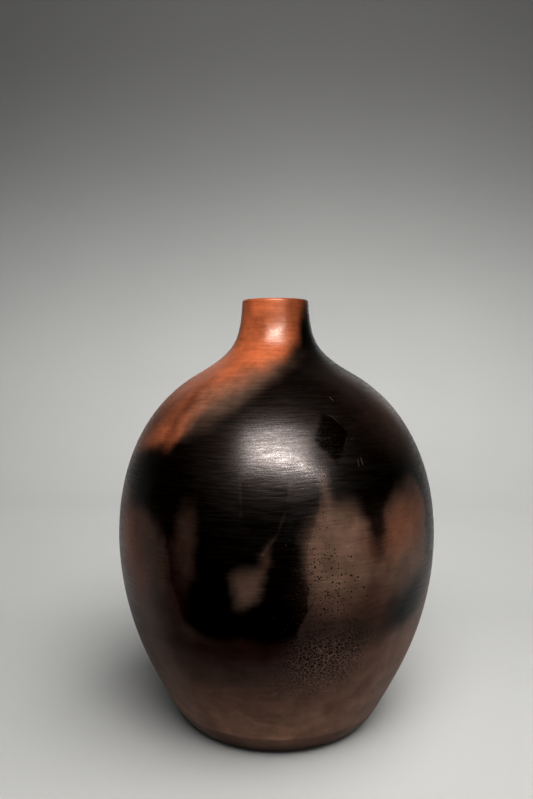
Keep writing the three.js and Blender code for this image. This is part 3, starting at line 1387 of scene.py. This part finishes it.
def overhead(azimuth: float, elevation: float, distance: float) -> Triple:
    """Finds the place of a light that hangs round from the front of the pot.

    Args:
        azimuth: The angle from the front in degrees, positive to the right.
        elevation: The angle up in degrees.
        distance: How far it hangs from the middle of the pot.

    Returns:
        The place.
    """
    turn, rise = math.radians(azimuth), math.radians(elevation)
    return (MIDDLE[0] + distance * math.sin(turn) * math.cos(rise),
            MIDDLE[1] - distance * math.cos(turn) * math.cos(rise),
            MIDDLE[2] + distance * math.sin(rise))


POT_LIGHTS = (
    SoftBox("key_softbox", overhead(-1.0, 48.0, 0.85), 0.66, 0.42, 3.9, spread=75.0),
    SoftBox("key_tube", overhead(10.0, 39.5, 0.84), 0.74, 0.05, 1.6, spread=75.0, roll=-23.0),
    SoftBox("rim_right", overhead(152.0, 22.0, 1.1), 0.4, 0.5, 0.3, tint=WHITE),
    SoftBox("rim_left", overhead(-152.0, 30.0, 1.2), 0.4, 0.4, 0.2, tint=WHITE),
    SoftBox("back_softbox", (0.0, 0.62, 0.1), 0.26, 0.14, 5.0),
)

PAPER_LIGHTS = (
    SoftBox("wall_glow", (0.05, 0.35, 0.85), 1.5, 0.4, 12.5, aim=(0.0, 1.5, 0.6)),
    SoftBox("floor_glow", (0.45, -0.25, 1.3), 1.1, 1.1, 22.0, aim=(0.15, 0.05, 0.0)),
    SoftBox("floor_fill", overhead(4.0, 48.0, 0.85), 0.66, 0.42, 1.9, spread=75.0),
)


@dataclass
class Studio:
    """The pale sweep, its lights, and the camera at the pot."""

    distance: float = 508 * MM
    eye_height: float = 262 * MM
    tilt: float = 3.8
    swing: float = 0.795
    lens: float = 31.5
    sensor: float = 36.0
    sweep_half: float = 6.0
    sweep_front: float = -5.0
    apron_edge: float = -0.06
    wall_back: float = 1.5
    bend: float = 0.8
    bend_steps: int = 24
    wall_top: float = 3.0
    paper_tints: tuple[Colour, Colour] = ((0.305, 0.338, 0.346, 1), (0.33, 0.365, 0.373, 1))
    painted_shade_levels: Pair = (0.1, 1.15)
    top_painted_shade: float = 0.4
    dark_room: Colour = (0.007, 0.007, 0.007, 1)
    pale_room: Colour = (0.36, 0.36, 0.35, 1)
    sky_power: float = 2.2
    sky_angle: float = 70.0
    sky_from: Triple = (0.3, -0.8, 1.0)
    grade_gamma: float = 0.75
    black_level: float = 0.004
    papers: list[bpy.types.Object] = field(default_factory=list)

    def camera(self) -> None:
        """Sets up the camera just below the rim's level, tilted a little down."""
        data = bpy.data.cameras.new("pot_camera")
        data.lens, data.sensor_width = self.lens, self.sensor
        camera = bpy.data.objects.new("pot_camera", data)
        bpy.context.scene.collection.objects.link(camera)
        camera.location = (0.0, -self.distance, self.eye_height)
        camera.rotation_euler = (math.radians(90 - self.tilt), 0.0, math.radians(self.swing))
        bpy.context.scene.camera = camera

    def paper(self) -> bpy.types.Material:
        """Makes the sweep's matt paper, which darkens as it rises: painted shade standing in for the
        light's falloff up the backdrop.

        Returns:
            The material.
        """
        made, w, shader, place = new_material("studio_paper")
        tint = w.mix(w.noise(place, 3.0).outputs[0], *self.paper_tints)
        up = w.node("ShaderNodeSeparateXYZ", {0: place}).outputs[2]
        # Painted shade: the paper's colour darkens with height, in place of the light falling off up
        # the backdrop.
        painted_shade = w.between(up, *self.painted_shade_levels, 1.0, self.top_painted_shade)
        w.dress(shader, Base_Color=w.scaled(tint, painted_shade), Roughness=0.85)
        return made

    def sheet(self, name: str, path: list[Pair], stock: bpy.types.Material) -> bpy.types.Object:
        """Lays a sheet of the paper along a path seen from the side.

        Args:
            name: The sheet's name.
            path: The (y, z) points that it runs through.
            stock: The paper.

        Returns:
            The sheet.
        """
        points = [(x, y, z) for y, z in path for x in (-self.sweep_half, self.sweep_half)]
        faces = [(2 * i, 2 * i + 1, 2 * i + 3, 2 * i + 2) for i in range(len(path) - 1)]
        mesh = bpy.data.meshes.new(name)
        mesh.from_pydata(points, [], faces)
        mesh.shade_smooth()
        mesh.materials.append(stock)
        sheet = bpy.data.objects.new(name, mesh)
        bpy.context.scene.collection.objects.link(sheet)
        self.papers.append(sheet)
        return sheet

    def sweep(self) -> None:
        """Lays the pale floor and bends it up into a backdrop.

        The apron in front of the pot is flagged off, so that the polished belly doesn't mirror it.
        """
        stock = self.paper()
        turns = [math.pi / 2 * i / self.bend_steps for i in range(self.bend_steps + 1)]
        bend = [(self.wall_back - self.bend + self.bend * math.sin(t),
                 self.bend - self.bend * math.cos(t)) for t in turns]
        self.sheet("sweep", [(self.apron_edge, 0.0), *bend, (self.wall_back, self.wall_top)], stock)
        apron = self.sheet("apron", [(self.sweep_front, 0.0), (self.apron_edge, 0.0)], stock)
        apron.visible_glossy = False

    def flag(self, light: bpy.types.Object, state: str) -> None:
        """Flags a light, so that it falls on the paper alone or on all but the paper.

        Args:
            light: The light.
            state: INCLUDE for the paper alone, EXCLUDE for all but the paper.
        """
        flags = bpy.data.collections.new(light.name + "_flags")
        for sheet in self.papers:
            flags.objects.link(sheet)
        for flagged in flags.collection_objects:
            flagged.light_linking.link_state = state
        light.light_linking.receiver_collection = flags

    def light(self) -> None:
        """Hangs the lights, those on the pot alone and those on the paper alone."""
        for box in POT_LIGHTS:
            self.flag(box.hang(), "EXCLUDE")
        for box in PAPER_LIGHTS:
            self.flag(box.hang(), "INCLUDE")
        sky = bpy.data.lights.new("sky_panel", "SUN")
        sky.energy, sky.angle, sky.color = self.sky_power, math.radians(self.sky_angle), WARM
        panel = bpy.data.objects.new("sky_panel", sky)
        bpy.context.scene.collection.objects.link(panel)
        panel.rotation_euler = Vector(self.sky_from).to_track_quat("Z", "Y").to_euler()
        self.flag(panel, "INCLUDE")

    def air(self) -> None:
        """Fills the room: dark all round for the clay to mirror, pale where the camera looks."""
        world = bpy.data.worlds.new("studio_air")
        world.use_nodes = True
        w = Wiring(world.node_tree)
        seen = w.node("ShaderNodeLightPath").outputs["Is Camera Ray"]
        w.dress(world.node_tree.nodes["Background"],
                Color=w.mix(seen, self.dark_room, self.pale_room))
        bpy.context.scene.world = world

    def grade(self) -> None:
        """Sets the depth of the tones."""
        view = bpy.context.scene.view_settings
        view.view_transform = "Standard"
        view.gamma = self.grade_gamma
        view.use_curve_mapping = True
        view.curve_mapping.black_level = (self.black_level,) * 3
        view.curve_mapping.update()

    def build(self) -> None:
        """Sets the whole studio."""
        for step in (self.camera, self.sweep, self.light, self.air, self.grade):
            step()


def main() -> None:
    """Builds the studio, the finishes and the pot."""
    logging.basicConfig(level=logging.INFO, format="%(name)s: %(message)s")
    Studio().build()
    looks = ClayLooks(Firing())
    clays = Clays(BurnishedClay().material(looks), RubbedFoot().material(looks),
                  BareClay().material(looks))
    pieces = Pot().build(clays)
    LOG.info("%d pieces", len(pieces))


if __name__ == "__main__":
    main()
